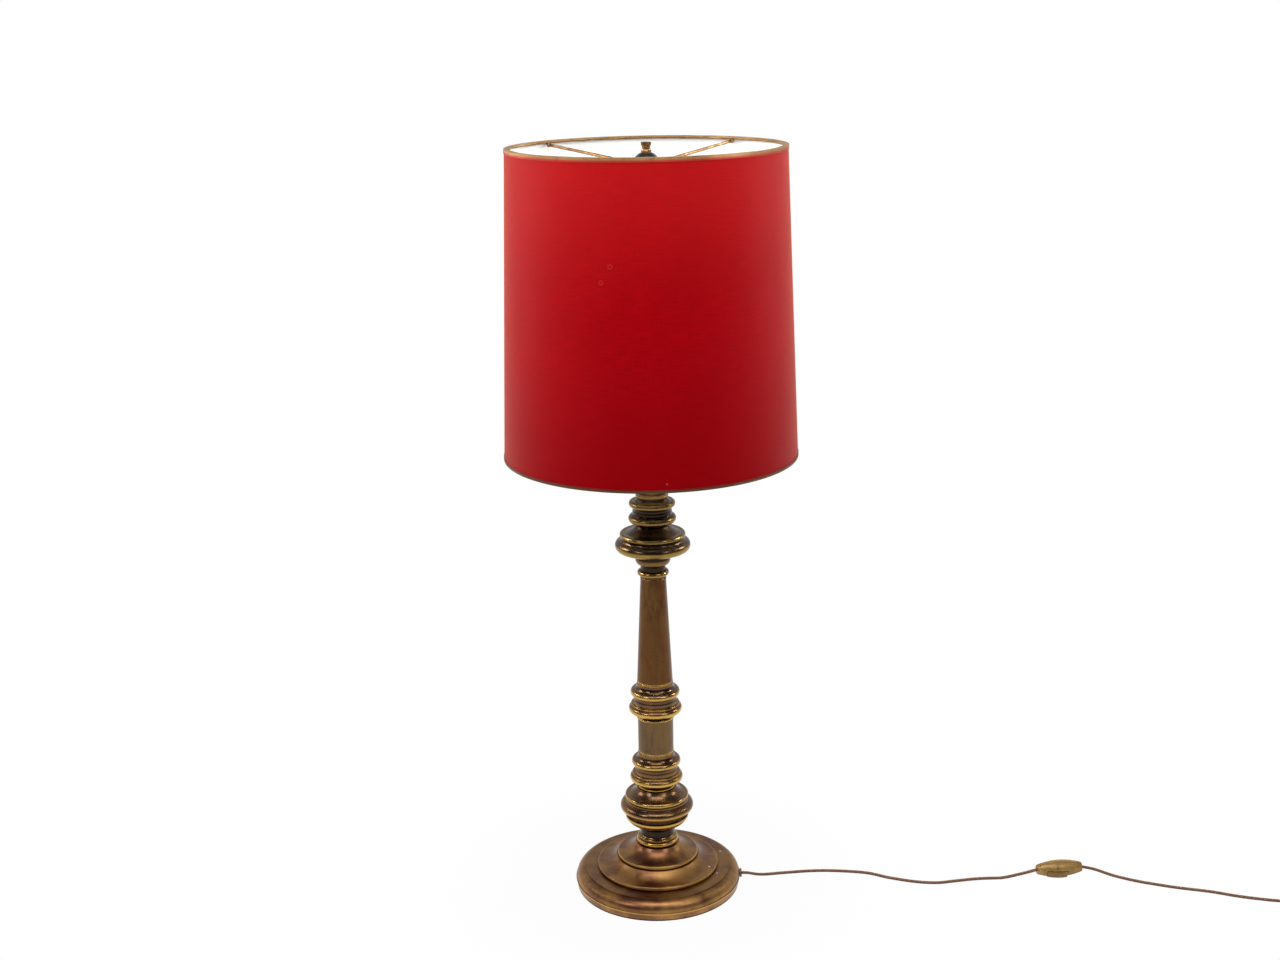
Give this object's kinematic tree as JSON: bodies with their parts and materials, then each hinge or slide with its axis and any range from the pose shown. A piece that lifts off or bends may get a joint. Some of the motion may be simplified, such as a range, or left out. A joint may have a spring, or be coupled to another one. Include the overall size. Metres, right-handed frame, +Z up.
{
  "type": "floor lamp",
  "caption": "Tall turned-brass column lamp with a stepped round base, a tapering red drum shade on a spider, and a flex with an in-line rocker switch.",
  "frame": {"origin": "centre of the round base on the floor", "axes": "+Z up along the column, +X towards the side where the flex leaves, -Y towards the viewer of the picture"},
  "size_m": [1.1291, 0.44, 1.0164],
  "materials": {
    "antique_brass": "aged, rubbed bright on the mouldings",
    "dark_brass": "brown patina with fine lengthwise marks",
    "fitting_brass": "satin",
    "steel": "zinc plated",
    "iron": "rough cast",
    "board": "pressed board",
    "felt": "felt",
    "brown_plastic": "moulded",
    "cream_plastic": "moulded",
    "porcelain": "glazed",
    "red_cloth": "smooth satin cloth on card",
    "white_lining": "matt",
    "gilt": "gilt tape",
    "gold_plastic": "gold coloured",
    "flex_plastic": "flexible",
    "black_strap": "strap"
  },
  "bodies": {
    "lamp": {"base_shell": "antique_brass", "base_weight": "iron", "base_cover": "board", "base_felt": "felt", "flex_bush": "brown_plastic", "centre_tube": "steel", "hex_nuts": "fitting_brass", "neck": "antique_brass", "knop": "antique_brass", "knop_dish": "antique_brass", "lower_collar": "antique_brass", "sleeve": "dark_brass", "upper_collar": "antique_brass", "shaft": "dark_brass", "necking": "antique_brass", "pan_ring": "antique_brass", "pan_dish": "antique_brass", "top_collar": "antique_brass", "top_neck": "antique_brass", "wiring_box": "fitting_brass", "box_lid": "fitting_brass", "lamp_arm_left": "fitting_brass", "lamp_arm_right": "fitting_brass", "holder_cap_left": "cream_plastic", "holder_cap_right": "cream_plastic", "holder_shell_left": "cream_plastic", "holder_shell_right": "cream_plastic", "holder_insert_left": "porcelain", "holder_insert_right": "porcelain", "screw_shell_left": "fitting_brass", "screw_shell_right": "fitting_brass", "centre_contacts": "fitting_brass", "shade_rod": "fitting_brass", "shade_seat": "fitting_brass", "inner_flex": "flex_plastic", "lamp_leads": "flex_plastic", "dome_cap": "antique_brass", "flex_lamp_side": "flex_plastic", "flex_plug_side": "flex_plastic", "flex_coil": "flex_plastic", "flex_tail": "flex_plastic", "coil_tie": "black_strap", "switch_front": "gold_plastic", "switch_back": "gold_plastic", "rocker_pin": "steel", "switch_screws": "steel", "plug_body": "brown_plastic", "plug_pins": "steel"},
    "shade": {"shade_cloth": "red_cloth", "shade_lining": "white_lining", "top_wire": "fitting_brass", "bottom_wire": "fitting_brass", "top_edging": "gilt", "bottom_edging": "gilt", "spider_arms": "fitting_brass", "spider_hub": "fitting_brass"},
    "finial": {"finial": "fitting_brass"},
    "rocker": {"switch_rocker": "gold_plastic"}
  },
  "joints": [
    {"name": "shade_turn", "type": "hinge", "parent": "lamp", "child": "shade", "pos_m": [0, 0, 0.9876], "axis": [0, 0, 1], "continuous": true},
    {"name": "finial_turn", "type": "hinge", "parent": "lamp", "child": "finial", "pos_m": [0, 0, 1.0097], "axis": [0, 0, 1], "continuous": true},
    {"name": "switch_rock", "type": "hinge", "parent": "lamp", "child": "rocker", "pos_m": [0.55427, -0.01539, 0.00854], "axis": [0.0379, -0.3727, 0.9272], "range_deg": [0, 12]}
  ]
}
